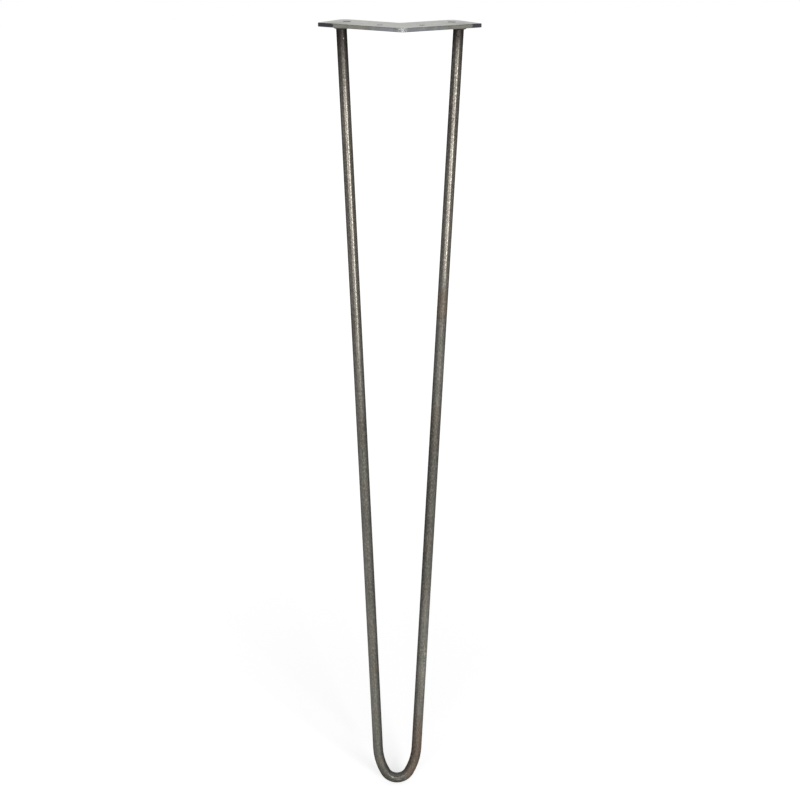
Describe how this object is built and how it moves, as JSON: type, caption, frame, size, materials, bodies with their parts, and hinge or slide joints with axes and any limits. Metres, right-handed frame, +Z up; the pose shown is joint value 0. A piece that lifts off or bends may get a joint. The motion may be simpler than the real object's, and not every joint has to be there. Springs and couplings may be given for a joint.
{
  "type": "hairpin table leg",
  "caption": "Tall hairpin furniture leg: a raw steel rod bent into a narrow U and welded under a flat two-armed plate with an obtuse corner and screw holes, splayed a little outward.",
  "frame": {"origin": "on the plate's top face, where the centre lines of its two arms cross", "axes": "+Z up, out of the plate's top face; +X from the left rod to the right rod; the plate's outer corner and the foot lie towards -Y"},
  "size_m": [0.1444, 0.1258, 0.711],
  "materials": {
    "plate_steel": "raw mild steel sheet, dull silver grey with handling marks",
    "rod_steel": "raw hot rolled steel, warm dark grey with a thin mill skin and fine speckle",
    "weld_metal": "raw weld bead, ripple marks, brushed"
  },
  "bodies": {
    "root": {"mounting_plate": "plate_steel", "hairpin_rod": "rod_steel", "weld_bead_left": "weld_metal", "weld_bead_right": "weld_metal"}
  },
  "joints": []
}
